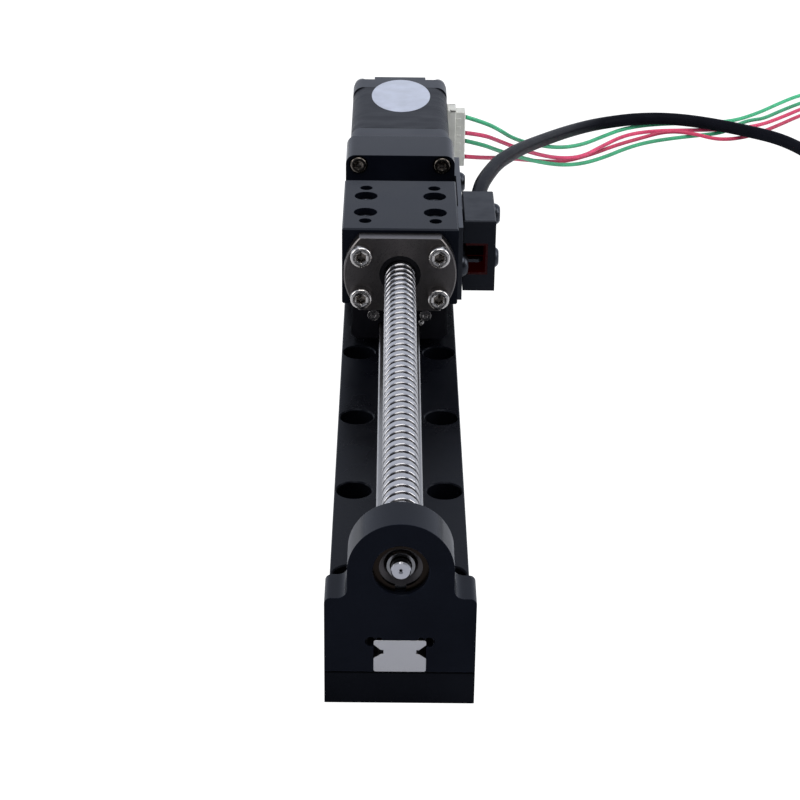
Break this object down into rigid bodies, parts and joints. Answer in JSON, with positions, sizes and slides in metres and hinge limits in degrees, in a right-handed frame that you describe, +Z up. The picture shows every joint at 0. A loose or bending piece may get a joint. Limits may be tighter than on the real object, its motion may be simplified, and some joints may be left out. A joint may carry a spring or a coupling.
{
  "type": "ball screw linear actuator",
  "caption": "Motor-driven ball screw linear actuator: a carriage on a guide rail, moved by a screw between bearing blocks, with a home sensor and free leads.",
  "frame": {"origin": "centre of the base plate's underside", "axes": "+X across the base towards the home sensor, +Y along the screw towards the motor, +Z up from the mounting face to the carriage"},
  "size_m": [0.2213, 0.3997, 0.0451],
  "materials": {
    "plate_black": "satin black anodised",
    "block_black": "satin black anodised",
    "rail_steel": "ground",
    "guide_steel": "ground",
    "screw_steel": "rolled and polished",
    "nut_steel": "ground",
    "seal_black": "moulded",
    "cap_black": "moulded",
    "bearing_steel": "polished",
    "ring_bronze": "dark phosphate",
    "screw_dark": "black oxide",
    "screw_bright": "stainless",
    "motor_black": "satin black",
    "stator_steel": "dark laminations",
    "rotor_steel": "machined",
    "coupling_alloy": "machined",
    "plug_white": "moulded",
    "sensor_black": "moulded",
    "sensor_red": "dark red window",
    "flag_steel": "sheet",
    "cable_black": "smooth sheath",
    "wire_green": "smooth sheath",
    "wire_green_dark": "smooth sheath",
    "wire_red": "smooth sheath",
    "wire_red_dark": "smooth sheath"
  },
  "bodies": {
    "base": {"base_plate": "plate_black", "guide_rail": "rail_steel", "rail_screws": "screw_dark", "front_block": "block_black", "block_screws": "screw_dark", "front_bearing_outer": "bearing_steel", "front_retaining_ring": "ring_bronze", "motor_mount": "block_black", "mount_screws": "screw_dark", "rear_bearing_outer": "bearing_steel", "rear_retaining_ring": "ring_bronze", "motor_front_bell": "motor_black", "motor_stator": "stator_steel", "motor_rear_bell": "motor_black", "motor_front_bearing": "bearing_steel", "motor_rear_bearing": "bearing_steel", "motor_bolts": "screw_dark", "motor_header": "plug_white", "motor_plug": "plug_white", "sensor_body": "sensor_black", "sensor_window": "sensor_red", "sensor_screws": "screw_bright", "sensor_bracket": "flag_steel", "bracket_screws": "screw_bright", "sensor_gland": "cable_black", "sensor_cable": "cable_black", "green_wire_top": "wire_green", "red_wire_top": "wire_red", "green_wire_low": "wire_green_dark", "red_wire_low": "wire_red_dark", "sensor_cable_coil": "cable_black", "sensor_cable_tail": "cable_black", "motor_lead_plug": "plug_white", "sensor_cable_plug": "sensor_black"},
    "carriage": {"ball_nut": "nut_steel", "nut_seals": "seal_black", "nut_screws": "screw_bright", "carriage_plate": "block_black", "carriage_screws": "screw_dark", "guide_block": "guide_steel", "front_end_cap": "cap_black", "rear_end_cap": "cap_black", "front_cap_screws": "screw_bright", "rear_cap_screws": "screw_bright", "home_flag": "flag_steel", "flag_screws": "screw_bright"},
    "screw": {"ball_screw": "screw_steel", "front_bearing_inner": "bearing_steel", "rear_bearing_inner": "bearing_steel", "shaft_coupling": "coupling_alloy", "motor_shaft": "screw_steel", "motor_rotor": "rotor_steel"}
  },
  "joints": [
    {"name": "screw_spin", "type": "hinge", "parent": "base", "child": "screw", "pos_m": [0, 0, 0.0308], "axis": [0, 1, 0], "range_deg": [-241, 15601]},
    {"name": "carriage_slide", "type": "slide", "parent": "base", "child": "carriage", "axis": [0, -1, 0], "range_m": [-0.002, 0.13]}
  ],
  "couplings": [
    {"joint": "screw_spin", "follows": "carriage_slide", "rad_per_m": 2094.4}
  ]
}
